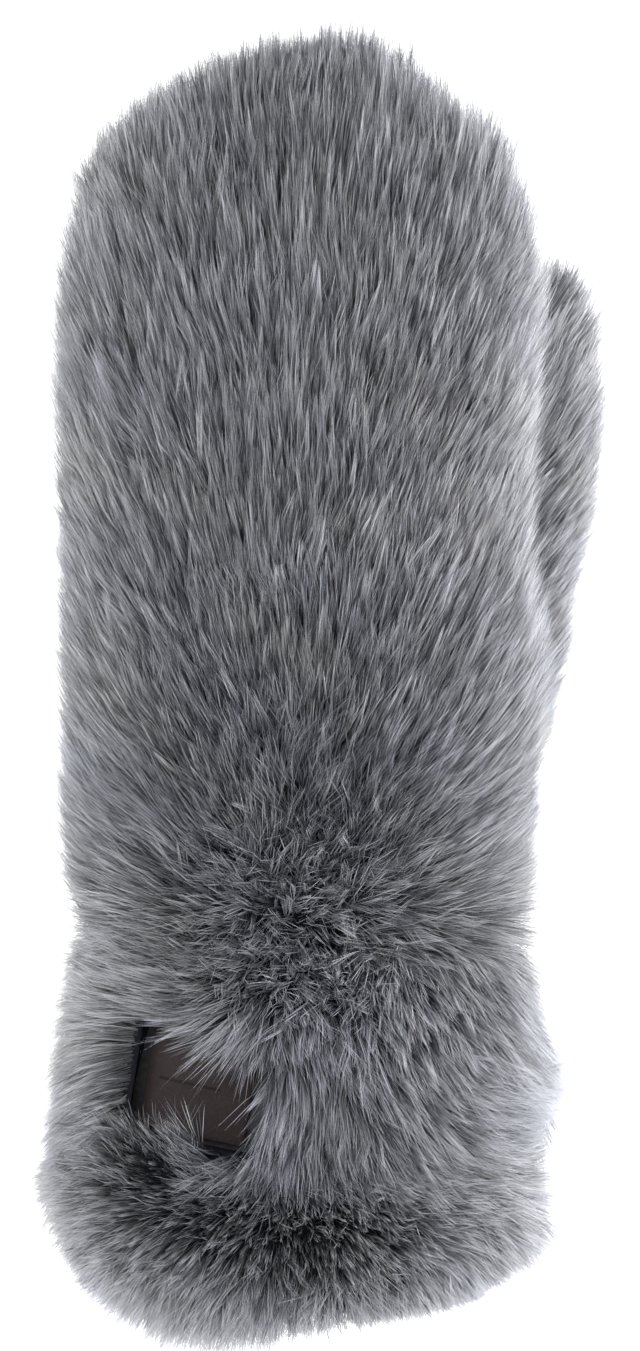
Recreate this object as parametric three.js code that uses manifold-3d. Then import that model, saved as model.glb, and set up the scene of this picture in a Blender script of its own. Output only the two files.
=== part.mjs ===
// A fur mitten for the left hand, worn: fingers up, back of the hand towards -Y, thumb at +X and towards the palm.
// Millimetres, +Z up. The origin is the middle of the wrist opening, level with the hem of the cuff.
// The hand, the thumb and the cuff are each a hollow cloth wall with a coat of deep fur round it, a shell
// whose outside stands up in pointed locks. A soft label lies in a gap in the cuff's fur.

import * as THREE from 'three';
import { mergeVertices } from 'three/addons/utils/BufferGeometryUtils.js';
import Module from 'manifold-3d';

// Driving dimensions
const WALL = 2;                 // thickness of the cloth
const SEWN_GAP = 0.3;           // clearance between pieces that are sewn face to face
const SEAM_Z = 70;              // height of the wrist seam, where the cuff meets the hand
const FUR_VALLEY = 0.6;         // height of the fur between the locks, as a share of the pile
const LOCK_TIP = 1.05;          // height of a lock's tip, as a share of the pile
const LOCK_LEAN = 5;            // how far a lock's tip is combed along the nap
const LOCK_VARIETY = 0.3;       // how much the locks differ, as a share of their height and lean
const LOCK_STRAY = 0.45;        // how far a lock's tip strays to either side, as a share of its width
const LOCK_CLEARANCE = 0.8;     // from the tips of the hand's locks to the fur of the thumb
const HEM_DROP = 0.25;          // depth of the fur straight below the hem, as a share of the pile there
const NAP_SOURCE = new THREE.Vector3(0, 0, 62);   // the point that all the fur is combed away from

// The outside of the cloth, a row for each level section. left, right, front and back are the reaches
// from the z axis, and pile is the depth of the fur.
const HAND_ROWS = [
  { z: SEAM_Z, left: 35.5, right: 36.5, front: 26, back: 26, pile: 9.5 },
  { z: 82, left: 37, right: 37, front: 25, back: 26.5, pile: 10.5 },
  { z: 96, left: 38.5, right: 39, front: 24, back: 26.5, pile: 10.5 },
  { z: 118, left: 38.5, right: 39.5, front: 23, back: 25, pile: 10.5 },
  { z: 148, left: 39, right: 38, front: 21.5, back: 22, pile: 10.5 },
  { z: 176, left: 39.5, right: 38.5, front: 20, back: 20, pile: 11 },
  { z: 200, left: 39, right: 40, front: 18, back: 18, pile: 11 },
  { z: 214, left: 37, right: 39, front: 16, back: 16, pile: 11 },
  { z: 224.5, left: 33.5, right: 34, front: 14, back: 14, pile: 12 },
  { z: 233, left: 23.5, right: 24, front: 11, back: 11, pile: 12.5 },
  { z: 240, left: 13.5, right: 19, front: 7, back: 7, pile: 12.5 },
  { z: 243, left: -6, right: 6, front: 0, back: 0, pile: 12.5 },
];
const CUFF_ROWS = [
  { z: 0, left: 37, right: 36.5, front: 32.5, back: 32.5, pile: 8.5 },
  { z: 11, left: 41, right: 40, front: 35.5, back: 35.5, pile: 11 },
  { z: 20, left: 43, right: 40, front: 36, back: 36, pile: 11 },
  { z: 27, left: 43, right: 40.5, front: 35.5, back: 35.5, pile: 9 },
  { z: 36, left: 41.5, right: 41, front: 34.5, back: 34.5, pile: 10.5 },
  { z: 50, left: 39.5, right: 40.5, front: 32, back: 32, pile: 10.5 },
  { z: 61, left: 37.5, right: 38, front: 29, back: 29, pile: 10 },
  { z: SEAM_Z - SEWN_GAP, left: 35.5, right: 36.5, front: 26, back: 26, pile: 9 },
];
// The thumb's rows are round sections square to its own axis, from inside the hand to the tip.
const THUMB_ROWS = [
  { x: 16, y: 3, z: 88, radius: 16, pile: 8 },
  { x: 27, y: 10, z: 108, radius: 16, pile: 8 },
  { x: 33.5, y: 16, z: 130, radius: 14, pile: 8 },
  { x: 39.5, y: 21, z: 153, radius: 12.5, pile: 8.5 },
  { x: 43, y: 24, z: 174, radius: 12, pile: 8.5 },
  { x: 44.3, y: 25.5, z: 188, radius: 10.5, pile: 9 },
  { x: 47, y: 26.4, z: 196.5, radius: 7.5, pile: 9.5 },
  { x: 49.5, y: 27, z: 202, radius: 0, pile: 11 },
];

// The label lies on the front of the cuff, about the middle of its own face at x and z.
const LABEL = { x: -18.9, z: 42, width: 20.8, height: 19, thickness: 1.3, tilt: THREE.MathUtils.degToRad(-9) };
const LABEL_COLUMNS = 6;        // flat facets across the label, which bends round the cuff
const PIT_FOOT = 1.2;           // how far the gap in the fur clears the label's edges, at the cloth
const PIT_MOUTH = 4;            // and past the tips of the fur
const PIT_DEPTH = 16;           // from the cloth to past the tips of the fur

// How finely the rounded solids are faceted
const BODY_SIDES = 30;
const THUMB_SIDES = 18;
const WALL_RINGS = { hand: 14, cuff: 7, thumb: 11 };
const LOCK_RINGS = { hand: 24, cuff: 8, thumb: 14 };
const HEM_TURNS = [90, 55, 22].map(THREE.MathUtils.degToRad);   // the fur turned down round the hem

const SCATTER = { row: 127.1, lock: 311.7, trait: 74.7, size: 43758.5 };   // numbers that share no factor
const DOWN = new THREE.Vector3(0, 0, -1);
const OVERRUN = 20;             // how far a cutting solid runs on past an open end
const STEP = 1e-3;              // the small step for slopes taken by differences

// A surface that goes once round as u runs from 0 to 1, and up its table of rows as v runs from 0 to 1.
class Surface {
  constructor(rows) {
    this.columns = {};
    for (const name of Object.keys(rows[0])) {
      this.columns[name] = new THREE.SplineCurve(rows.map((row, i) => new THREE.Vector2(i, row[name])));
    }
  }

  at(name, v) {
    return this.columns[name].getPoint(THREE.MathUtils.clamp(v, 0, 1)).y;
  }

  normal(u, v) {
    const inside = THREE.MathUtils.clamp(v, STEP, 1 - 2 * STEP);
    const across = this.point(u + STEP, inside).sub(this.point(u - STEP, inside));
    const up = this.point(u, inside + STEP).sub(this.point(u, inside - STEP));
    return across.cross(up).normalize();
  }

  // A point off the surface, by a distance and a share of the pile
  offset(u, v, distance, share = 0) {
    return this.point(u, v).addScaledVector(this.normal(u, v), distance + share * this.at('pile', v));
  }

  ring(sides, v, distance, share) {
    return Array.from({ length: sides }, (_, i) => this.offset(i / sides, v, distance, share));
  }

  // The place on a level table where the surface reaches height z
  vOf(z) {
    let [low, high] = [0, 1];
    while (high - low > STEP * STEP) {
      const middle = (low + high) / 2;
      if (this.at('z', middle) < z) low = middle;
      else high = middle;
    }
    return low;
  }
}

// Level sections, each an ellipse between its four reaches
class BodySurface extends Surface {
  point(u, v) {
    const [left, right, front, back] = ['left', 'right', 'front', 'back'].map((name) => this.at(name, v));
    return new THREE.Vector3(
      (right - left + (right + left) * Math.cos(2 * Math.PI * u)) / 2,
      (back - front + (back + front) * Math.sin(2 * Math.PI * u)) / 2,
      this.at('z', v),
    );
  }
}

// Round sections square to an axis that leans
class ThumbSurface extends Surface {
  centre(v) {
    return new THREE.Vector3(this.at('x', v), this.at('y', v), this.at('z', v));
  }

  point(u, v) {
    const inside = THREE.MathUtils.clamp(v, STEP, 1 - STEP);
    const axis = this.centre(inside + STEP).sub(this.centre(inside - STEP)).normalize();
    const side = new THREE.Vector3(0, 1, 0).cross(axis).normalize();
    const behind = axis.clone().cross(side);
    return this.centre(v)
      .addScaledVector(side, this.at('radius', v) * Math.cos(2 * Math.PI * u))
      .addScaledVector(behind, this.at('radius', v) * Math.sin(2 * Math.PI * u));
  }
}

const handSurface = new BodySurface(HAND_ROWS);
const cuffSurface = new BodySurface(CUFF_ROWS);
const thumbSurface = new ThumbSurface(THUMB_ROWS);

const wasm = await Module();
wasm.setup();

function toSolid(points, triangles) {
  const geometry = new THREE.BufferGeometry().setFromPoints(points).setIndex(triangles.flat());
  const merged = mergeVertices(geometry);
  return new wasm.Manifold(
    new wasm.Mesh({
      numProp: 3,
      vertProperties: merged.attributes.position.array,
      triVerts: new Uint32Array(merged.index.array),
    }),
  );
}

function toMesh(name, solid, material) {
  const { vertProperties, triVerts } = solid.getMesh();
  const geometry = new THREE.BufferGeometry()
    .setAttribute('position', new THREE.BufferAttribute(vertProperties, 3))
    .setIndex(new THREE.BufferAttribute(triVerts, 1));
  geometry.computeVertexNormals();
  const mesh = new THREE.Mesh(geometry, material);
  mesh.name = name;
  return mesh;
}

// Joins rings of points, from the bottom up, into one closed solid. A ring of one point is a pole.
// locks[k] holds the tips of the locks that stand on the cells between ring k and the next.
function skin(rings, locks = []) {
  const points = rings.flat();
  const triangles = [];
  let start = 0;
  rings.slice(0, -1).forEach((ring, k) => {
    const next = start + ring.length;
    const sides = Math.max(ring.length, rings[k + 1].length);
    for (let i = 0; i < sides; i++) {
      const j = (i + 1) % sides;
      const lower = ring.length === 1 ? [start] : [start + i, start + j];
      const upper = rings[k + 1].length === 1 ? [next] : [next + j, next + i];
      const cell = [...lower, ...upper];
      if (locks[k]) {
        const tip = points.push(locks[k][i]) - 1;
        cell.forEach((corner, n) => triangles.push([corner, cell[(n + 1) % cell.length], tip]));
      } else {
        for (let n = 1; n < cell.length - 1; n++) triangles.push([cell[0], cell[n], cell[n + 1]]);
      }
    }
    start = next;
  });
  return toSolid(points, triangles);
}

const middleOf = (ring) =>
  [ring.reduce((sum, p) => sum.add(p), new THREE.Vector3()).divideScalar(ring.length)];

// Ends that are open in the real piece run straight on past it by overrun.
function smoothBody(surface, ringCount, distance, { domed = false, overrun = 0, share = 0 } = {}) {
  const rings = [];
  for (let k = 0; k <= ringCount; k++) rings.push(surface.ring(BODY_SIDES, k / ringCount, distance, share));
  const shifted = (ring, by) => ring.map((p) => new THREE.Vector3(p.x, p.y, p.z + by));
  if (overrun > 0) rings.unshift(shifted(rings[0], -overrun));
  if (domed) rings.splice(-1, 1, middleOf(rings.at(-1)));
  else if (overrun > 0) rings.push(shifted(rings.at(-1), overrun));
  const ends = domed ? [] : [middleOf(rings.at(-1))];
  return skin([middleOf(rings[0]), ...rings, ...ends]);
}

function thumb(distance) {
  const count = WALL_RINGS.thumb;
  const rings = [];
  for (let k = 0; k <= count; k++) rings.push(thumbSurface.ring(THUMB_SIDES, k / count, distance));
  rings.splice(-1, 1, middleOf(rings.at(-1)));
  return skin([middleOf(rings[0]), ...rings]);
}

// The way the fur is combed: along the surface, away from the source
function nap(point, normal) {
  const away = point.clone().sub(NAP_SOURCE);
  return away.addScaledVector(normal, -away.dot(normal)).normalize();
}

// A number from -1 to 1 that looks random but is always the same for a trait of lock i in row k
function variety(k, i, trait) {
  const wave = SCATTER.size * Math.sin(SCATTER.row * k + SCATTER.lock * i + SCATTER.trait * trait.length);
  return 2 * (wave - Math.floor(wave)) - 1;
}

const evenly = (count) => Array.from({ length: count + 1 }, (_, k) => ({ v: k / count, turn: 0 }));

// The outer form of the fur, filled solid, with a lock on every cell between its rings. Each ring has v,
// its place on the surface, and turn, how far its fur is turned down from straight out.
function furForm(surface, sides, places, domed) {
  const furPoint = (u, { v, turn }, share) => {
    const way = surface.normal(u, v).multiplyScalar(Math.cos(turn)).addScaledVector(DOWN, Math.sin(turn));
    const depth = surface.at('pile', v) * share * (1 - (1 - HEM_DROP) * Math.sin(turn));
    return surface.point(u, v).addScaledVector(way, depth);
  };
  const rings = places.map((place, k) =>
    Array.from({ length: sides }, (_, i) => furPoint(i / sides, place, FUR_VALLEY)));
  if (domed) rings.splice(-1, 1, middleOf(rings.at(-1)));

  const locks = places.slice(1).map((high, k) => {
    const low = places[k];
    const place = { v: (low.v + high.v) / 2, turn: (low.turn + high.turn) / 2 };
    return Array.from({ length: sides }, (_, i) => {
      const u = (i + 0.5 + LOCK_STRAY * variety(k, i, 'aside')) / sides;
      const tip = furPoint(u, place, LOCK_TIP * (1 - LOCK_VARIETY * Math.abs(variety(k, i, 'height'))));
      const lean = LOCK_LEAN * Math.cos(place.turn) * (1 + LOCK_VARIETY * variety(k, i, 'lean'));
      return tip.addScaledVector(nap(tip, surface.normal(u, place.v)), lean);
    });
  });
  const ends = domed ? [] : [middleOf(rings.at(-1))];
  return skin([middleOf(rings[0]), ...rings, ...ends], [null, ...locks]);
}

// A block bent onto the front of the cuff, between two distances from its cloth. foot and mouth are how
// far it reaches past the label's edges at the nearer and the further one.
function labelBlock([near, foot], [far, mouth]) {
  const v0 = cuffSurface.vOf(LABEL.z);
  const [left, right] = ['left', 'right'].map((name) => cuffSurface.at(name, v0));
  const u0 = 1 - Math.acos((2 * LABEL.x - right + left) / (right + left)) / (2 * Math.PI);
  const uPerMm = STEP / cuffSurface.point(u0 + STEP, v0).distanceTo(cuffSurface.point(u0, v0));
  const corner = (across, up, [distance, margin]) => {
    const x = across * (LABEL.width / 2 + margin);
    const y = up * (LABEL.height / 2 + margin);
    const along = x * Math.cos(LABEL.tilt) - y * Math.sin(LABEL.tilt);
    const rise = x * Math.sin(LABEL.tilt) + y * Math.cos(LABEL.tilt);
    return cuffSurface.offset(u0 + along * uPerMm, cuffSurface.vOf(LABEL.z + rise), distance);
  };
  const loops = Array.from({ length: LABEL_COLUMNS + 1 }, (_, n) => {
    const across = (2 * n) / LABEL_COLUMNS - 1;
    return [
      corner(across, -1, [near, foot]),
      corner(across, 1, [near, foot]),
      corner(across, 1, [far, mouth]),
      corner(across, -1, [far, mouth]),
    ];
  });
  return skin([middleOf(loops[0]), ...loops, middleOf(loops.at(-1))]);
}

// The main body of a solid, without the loose scraps that a cut can leave
function largest(solid) {
  return solid.decompose().reduce((best, piece) => (piece.volume() > best.volume() ? piece : best));
}

const hand = (distance, overrun = 0, share = 0) =>
  smoothBody(handSurface, WALL_RINGS.hand, distance, { domed: true, overrun, share });
const cuff = (distance, overrun = 0) => smoothBody(cuffSurface, WALL_RINGS.cuff, distance, { overrun });

const handWall = hand(0).subtract(hand(-WALL, OVERRUN)).subtract(thumb(-WALL));
const thumbWall = largest(thumb(0).subtract(thumb(-WALL)).subtract(hand(SEWN_GAP, OVERRUN)));
const cuffWall = cuff(0).subtract(cuff(-WALL, OVERRUN));

const handFur = largest(
  furForm(handSurface, BODY_SIDES, evenly(LOCK_RINGS.hand), true)
    .subtract(hand(SEWN_GAP, OVERRUN))
    .subtract(thumb(SEWN_GAP))
    .trimByPlane([0, 0, 1], SEAM_Z + SEWN_GAP),
);
const thumbFur = largest(
  furForm(thumbSurface, THUMB_SIDES, evenly(LOCK_RINGS.thumb), true)
    .subtract(thumb(SEWN_GAP))
    .subtract(hand(LOCK_CLEARANCE, OVERRUN, LOCK_TIP)),
);
const hemPlaces = HEM_TURNS.map((turn) => ({ v: 0, turn }));
const cuffFur = largest(
  furForm(cuffSurface, BODY_SIDES, [...hemPlaces, ...evenly(LOCK_RINGS.cuff)], false)
    .subtract(cuff(SEWN_GAP, SEWN_GAP))
    .subtract(cuff(-WALL, OVERRUN))
    .subtract(labelBlock([0, PIT_FOOT], [PIT_DEPTH, PIT_MOUTH]))
    .trimByPlane([0, 0, -1], SEWN_GAP - SEAM_Z),
);
const label = labelBlock([SEWN_GAP, 0], [SEWN_GAP + LABEL.thickness, 0]);

const fur = () => new THREE.MeshStandardMaterial({ color: 0x6c6d73, roughness: 0.85, metalness: 0 });
const cloth = () => new THREE.MeshStandardMaterial({ color: 0x55565c, roughness: 0.9, metalness: 0 });
const suede = () => new THREE.MeshStandardMaterial({ color: 0x3b3637, roughness: 0.8, metalness: 0 });

const mitten = new THREE.Group();
mitten.add(
  toMesh('hand_wall', handWall, cloth()),
  toMesh('thumb_wall', thumbWall, cloth()),
  toMesh('cuff_wall', cuffWall, cloth()),
  toMesh('hand_fur', handFur, fur()),
  toMesh('thumb_fur', thumbFur, fur()),
  toMesh('cuff_fur', cuffFur, fur()),
  toMesh('label', label, suede()),
);

export default mitten;
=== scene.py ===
"""A shaggy grey-blue fur mitten with a fur cuff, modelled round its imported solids.

Sizes in the tables and settings are in millimetres. The pieces are built in metres.
"""

import math
import bpy
import numpy as np
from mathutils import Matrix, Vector
from mathutils.kdtree import KDTree


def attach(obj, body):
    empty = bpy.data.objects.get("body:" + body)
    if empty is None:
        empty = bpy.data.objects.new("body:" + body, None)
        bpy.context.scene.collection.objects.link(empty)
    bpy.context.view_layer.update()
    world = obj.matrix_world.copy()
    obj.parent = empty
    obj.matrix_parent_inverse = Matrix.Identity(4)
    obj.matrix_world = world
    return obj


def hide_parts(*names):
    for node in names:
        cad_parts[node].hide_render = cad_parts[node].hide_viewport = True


bl_info = {
    "name": "Fur mitten",
    "version": (1, 0, 0),
    "blender": (4, 5, 0),
    "location": "3D View > Sidebar > Mitten",
    "description": "Builds a long-pile fur mitten with its cuff, thumb and label",
    "category": "Add Mesh",
}

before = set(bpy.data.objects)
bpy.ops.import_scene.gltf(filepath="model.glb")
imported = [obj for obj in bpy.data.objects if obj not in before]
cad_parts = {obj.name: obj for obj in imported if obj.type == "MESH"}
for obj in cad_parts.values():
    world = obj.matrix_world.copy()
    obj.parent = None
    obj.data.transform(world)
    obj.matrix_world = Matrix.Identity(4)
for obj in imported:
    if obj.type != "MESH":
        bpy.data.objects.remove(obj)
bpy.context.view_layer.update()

MM = 0.001
BODY = "root"
SEED = 7

# The outside of the cloth, a row for each level section. left, right, front and back are the
# reaches from the z axis, and pile is the depth of the fur.
HAND_ROWS = [
    dict(z=70, left=35.5, right=36.5, front=26, back=26, pile=9.5),
    dict(z=82, left=37, right=37, front=25, back=26.5, pile=10.5),
    dict(z=96, left=38.5, right=39, front=24, back=26.5, pile=10.5),
    dict(z=118, left=38.5, right=39.5, front=23, back=25, pile=10.5),
    dict(z=148, left=39, right=38, front=21.5, back=22, pile=10.5),
    dict(z=176, left=39.5, right=38.5, front=20, back=20, pile=11),
    dict(z=200, left=39, right=40, front=18, back=18, pile=11),
    dict(z=214, left=37, right=39, front=16, back=16, pile=11),
    dict(z=224.5, left=33.5, right=34, front=14, back=14, pile=12),
    dict(z=233, left=23.5, right=24, front=11, back=11, pile=12.5),
    dict(z=240, left=13.5, right=19, front=7, back=7, pile=13.5),
    dict(z=243, left=-6, right=6, front=0, back=0, pile=14),
]
CUFF_ROWS = [
    dict(z=0, left=37, right=36.5, front=32.5, back=32.5, pile=8.5),
    dict(z=11, left=41, right=40, front=35.5, back=35.5, pile=11),
    dict(z=20, left=43, right=40, front=36, back=36, pile=11),
    dict(z=27, left=43, right=40.5, front=35.5, back=35.5, pile=9),
    dict(z=36, left=41.5, right=41, front=34.5, back=34.5, pile=10.5),
    dict(z=50, left=39.5, right=40.5, front=32, back=32, pile=10.5),
    dict(z=61, left=37.5, right=38, front=29, back=29, pile=10),
    dict(z=69.7, left=35.5, right=36.5, front=26, back=26, pile=9),
]
# Round sections along the thumb's axis, from inside the hand to the tip
THUMB_ROWS = [
    dict(x=16, y=3, z=88, radius=16, pile=8),
    dict(x=27, y=10, z=108, radius=16, pile=8),
    dict(x=33.5, y=16, z=130, radius=14, pile=9),
    dict(x=39.5, y=21, z=153, radius=12.5, pile=10),
    dict(x=43, y=24, z=174, radius=12, pile=10),
    dict(x=44.3, y=25.5, z=188, radius=10.5, pile=9),
    dict(x=47, y=26.4, z=196.5, radius=7.5, pile=10.5),
    dict(x=49.5, y=27, z=202, radius=0, pile=13),
]
# The fur is combed away from one place at the wrist seam, and straighter on the palm
NAP_SOURCE = (-1, 0, 75)
PALM_STRAIGHT = 0.6   # share of the sideways comb that is left out there
PALM_COMB = 25        # and what is added up the hand or down the cuff
# Crowns, seen from the front, where the fur stands up and points every way
CROWNS = [
    dict(x=4, z=78, reach=16, lift=20, mess=48),
    dict(x=-12, z=72, reach=9, lift=16, mess=30),
    dict(x=4, z=62, reach=8, lift=4, mess=16),
    dict(x=-2, z=104, reach=26, lift=7, mess=12),
    dict(x=-28, z=61, reach=10, lift=-10, mess=-4),
    dict(x=-26, z=26, reach=5, lift=20),
    dict(x=-32, z=18, reach=11, lift=40, mess=60),
    dict(x=-15, z=15, reach=10, lift=40, mess=60),
    dict(x=3, z=14, reach=11, lift=40, mess=60),
    dict(x=18, z=14, reach=10, lift=36, mess=55),
]
# Patches seen from the front of fuller or flatter and bluer or browner fur, and of paler or darker fur,
# whose tone is mostly painted light and shade and partly the fur's own tone
PATCHES = [
    dict(x=-7, z=44, reach=10, tone=0.24, full=0.22, blue=1.8),
    dict(x=-12, z=30, reach=7, tone=0.15, full=0.1, blue=1.4),
    dict(x=34, z=44, reach=14, tone=0.2, full=0.05, blue=0.8),
    dict(x=-45, z=44, reach=12, tone=-0.06, full=-0.12),
    # painted light: the top of the cuff made paler where the hand's fur shades it
    dict(x=-30, z=62, reach=12, tone=0.14, full=0.1, blue=-0.8),
    dict(x=3, z=56, reach=9, tone=0.12, full=0.1, blue=1.5),
    dict(x=18, z=58, reach=9, tone=0.12, full=0.05, blue=0.4),
    # painted shade: the fur darkened in the gap left of the label
    dict(x=-26, z=26, reach=5, tone=-0.6, full=-0.45),
    dict(x=-4, z=15, reach=17, tone=-0.16),
    dict(x=0, z=25, reach=8, tone=0.05, full=-0.12, blue=1.2),
    # painted light: the fur along the hem's underside made paler
    dict(x=-25, z=-3, reach=11, tone=1.4, full=0.4),
    dict(x=-12, z=-4, reach=11, tone=1.3, full=0.8),
    dict(x=14, z=-3, reach=13, tone=1.4, full=0.25, blue=0.3),
    dict(x=-46, z=8, reach=9, tone=0.1, full=-0.3),
    dict(x=-22, z=55, reach=6, tone=0.05, full=-0.15, blue=-0.5),
    dict(x=-19, z=31, reach=5, tone=0.05, full=0.2),
    dict(x=-12, z=57, reach=7, tone=0.15, blue=0.5),
    # painted shade: the middle of the back and the top darkened
    dict(x=-2, z=102, reach=26, tone=-0.38, blue=0.3),
    dict(x=4, z=238, reach=20, tone=-0.17),
    # painted light: the middle of the wrist seam made paler
    dict(x=-2, z=72, reach=12, tone=0.46, blue=0.4),
    dict(x=-21, z=181, reach=8, blue=1.2),
    dict(x=21, z=102, reach=9, blue=1.2),
    dict(x=45, z=43, reach=12, tone=0.1, full=0.38, blue=0.3),
    dict(x=38, z=70, reach=7, full=0.4),
    dict(x=40, z=122, reach=10, full=0.32),
    dict(x=46, z=15, reach=9, full=0.3),
    dict(x=-41, z=180, reach=18, full=0.12),
    dict(x=-37, z=228, reach=7, full=0.1),
    dict(x=26, z=240, reach=8, full=-0.16),
    dict(x=-43, z=61, reach=8, full=-0.08),
    dict(x=-46, z=34, reach=7, full=-0.15),
    dict(x=44, z=108, reach=9, full=0.14),
    dict(x=38, z=226, reach=10, full=0.2),
    dict(x=-28, z=236, reach=9, full=-0.04),
    dict(x=-4, z=252, reach=9, full=-0.14),
    dict(x=15, z=250, reach=9, full=0.2),
]
# How low the tips reach along the hem, seen from the front, with HEM_LOOSE more for the longest
HEM_X = (-46, -34, -24, -12, 6, 22, 32, 42)
HEM_Z = (3, -3, -8, -10, -4, -1.5, 1.5, 5)
HEM_LOOSE = 5
HEM_LEAST = 0.25      # share of its length that a shortened hair keeps at least
HEM_TURNS = (-80, -45, -12)   # degrees: how the skin turns in under the hem
HEM_DEPTH = 0.6       # and how deep, beside how far it reaches out

# How the skins lie, and where the hairs start on them
SMOOTH = 2            # levels of smoothing
UNDERFUR = 0.4        # share of the pile that the dense underfur fills
ROOT_SHARE = 0.34     # how high in the pile the modelled hairs start
PALM_SHARE = 0.8      # how dense the palm's fur is beside the back's
SEAM_OVERLAP = 3      # how far the hand's lowest hairs start below its foot
SEAM_FADE = 6         # how high above the foot that ends
THUMB_SINK = 1        # how far the hand's hairs reach into the thumb, whose own stay as far off the hand
HAND_SPLIT = 148      # where the hand's fur is parted into a low and a high piece

# How the hairs stand and turn, in degrees
HEM_LIFT = 6          # where the skin faces down
TOP_LIFT = 45         # where it faces up
LOCK_LIFT = 7         # how the locks differ in their lift
HAIR_LIFT = 6         # how the hairs do
TIP_LIFT = 1.2        # how many times the root's lift the tip takes
ROOT_RISES = (15, 95)
TIP_RISES = (4, 88)
HAIR_TURN = 0.6       # how much the hairs turn for themselves beside their lock
MIDDLE_LEAST = 31     # a hair that lies flatter than this isn't made longer for it

# How long they are, as shares of the pile above their roots
GUARD_SHARE = 0.5     # share of the hairs that are long guard hairs
GUARD_LONG = (0.95, 1.3)
SHORT_LONG = (0.55, 1.0)
LOCK_LONG = 0.1
STRAYS = 0.13         # share of the guard hairs that stick out
STRAY_LONGER = 0.38
LENGTHS = (0.3, 1.9)

# How they draw together
TUFT = 4.5            # distance between the tufts that the locks lean into
TUFT_PULL = 0.18
LOCK_PULL = 0.35      # how much more a risen lock draws together
PULLS = (0.2, 1.5)
PULL_MOST = 0.92
PULL_BEND = 1.3       # how late along the hairs it starts

# Their tone, from 0 for the dark tips to 1 for the light ones
TONE = 0.155
LOCK_TONE = 0.45
HAIR_TONE = 0.26
GUARD_TONE = 0.22
STRAY_TONE = 0.25
EDGE_SLOPE = 1.5      # the fur on the two sides is looser, and is painted paler and more even for the light that falls on it from the sides and behind: painted light
EDGE_START = 0.6
EDGE_CALM = 0.6
EDGE_LOOSE = 0.4
EDGE_TOP = 2          # but no looser where the skin faces up
# painted light: how much paler the fur on the two sides is made
EDGE_PAINTED_LIGHT = 0.48

# What drifts from place to place: the size of its lumps, how much it drifts and its own seed
DRIFTS = dict(
    mess=[dict(size=14, share=0.8, seed=1)],
    sway=[dict(size=22, share=1.0, seed=2), dict(size=8, share=0.3, seed=3)],
    full=[dict(size=24, share=0.07, seed=4), dict(size=9, share=0.07, seed=5)],
    hem=[dict(size=9, share=1.2, seed=6)],
    tone=[dict(size=11, share=0.11, seed=7), dict(size=4.5, share=0.11, seed=8)],
)

# The ribbons that the hairs are made of, and their map
WIDTHS = (0.7, 1.3)   # thinnest and widest beside the set width
STRAY_WIDTH = 0.55
TWIST = 1.0           # radians that a ribbon may turn about its length
ROOT_V = 0.02
BEND_V = 0.5
TIP_V = 0.98
UV_EDGE = 0.0008      # half a hair's width there
TINTS = 4
TINT_DRIFT = dict(size=26, share=0.8, seed=3)
HAIR_TINT = 0.7
TINT_REACH = 1.6
TINT_EDGE = 0.06      # bare edge of each tint's band on the map
TINT_SHIFT = 0.02     # how far past its place each tint is read

# The colour along a hair, as stops of place and value
TINT_STOPS = [
    (0.0, (1.02, 1.0, 0.96)),
    (0.3, (1.0, 1.0, 1.0)),
    (0.6, (0.97, 0.99, 1.05)),
    (0.9, (0.92, 0.96, 1.13)),
]
# the dark roots stand partly for the shade deep among the hairs: painted shade
RISE_STOPS = [(0.12, (0, 0, 0)), (0.5, (0.12,) * 3), (0.76, (0.42,) * 3), (1.0, (1, 1, 1))]
TRANSLUCENCE = 0.5    # share of the light that comes through the tips of pale hairs
GLOW_LEAST = 0.3      # and what of that is left for dark ones
ROOT_GLOW = 0.3       # how much a pale hair's root takes of its tip

# How the front of the cuff is combed: x, z, and how the fur points there, in degrees from +X towards +Z
CUFF_COMB = [
    (-48, 60, -178),
    (-38, 63, 165),
    (-27, 60, 158),
    (-21, 56, 154),
    (-16, 55, 140),
    (-17, 64, 150),
    (-46, 44, -165),
    (-36, 42, -155),
    (-9, 60, -105),
    (-9, 52, -102),
    (0, 54, -75),
    (-8, 46, -116),
    (-9, 35, -118),
    (2, 64, -95),
    (12, 62, -112),
    (24, 60, -104),
    (36, 58, -78),
    (46, 52, -30),
    (8, 44, -82),
    (20, 42, -62),
    (31, 41, -20),
    (38, 32, 15),
    (47, 36, 5),
    (-14, 26, -160),
    (3, 28, -85),
    (15, 25, -45),
    (28, 22, -25),
    (-26, 29, 60),
    (-17, 28, 100),
    (-46, 24, -175),
    (-38, 8, -140),
    (-22, 2, -105),
    (0, 2, -92),
    (18, 4, -80),
    (34, 5, -45),
]
COMB_REACH = 9        # how far one of those places is felt
COMB_BASE = 0.05      # weight of the plain nap among them

WALL_GAP = 0.3        # between the thumb's wall and the hand's

LABEL = dict(x=-18.9, z=42, width=20.8, height=19, thickness=1.3, tilt=-9, bevel=0.35)
LABEL_GRID = dict(x_subdivisions=22, y_subdivisions=19)
LINE = dict(middle=0.42, up=0.52, long=0.58, thick=0.03)   # pressed into the label, as shares of its face
LABEL_LIFT = 0.3      # how far it lies off the cloth
LABEL_CLEAR = dict(left=2.8, right=3.2, below=1.0, above=1.8)   # bare cloth round the label
LABEL_FRONT = -60     # where it starts, in front of the cuff, before it is laid on the cloth
PIT_Y = -50           # middle and depth of what is cut out of the underfur round it
PIT_DEEP = 60

# Knit and grain: how fine they are to the metre, and how strongly they show
KNIT = dict(ribs=2600.0, lean=0.6, rows=3200.0)
SUEDE = dict(grain=1500.0, rubbed=160.0, mix=0.55, line=0.95)

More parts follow.
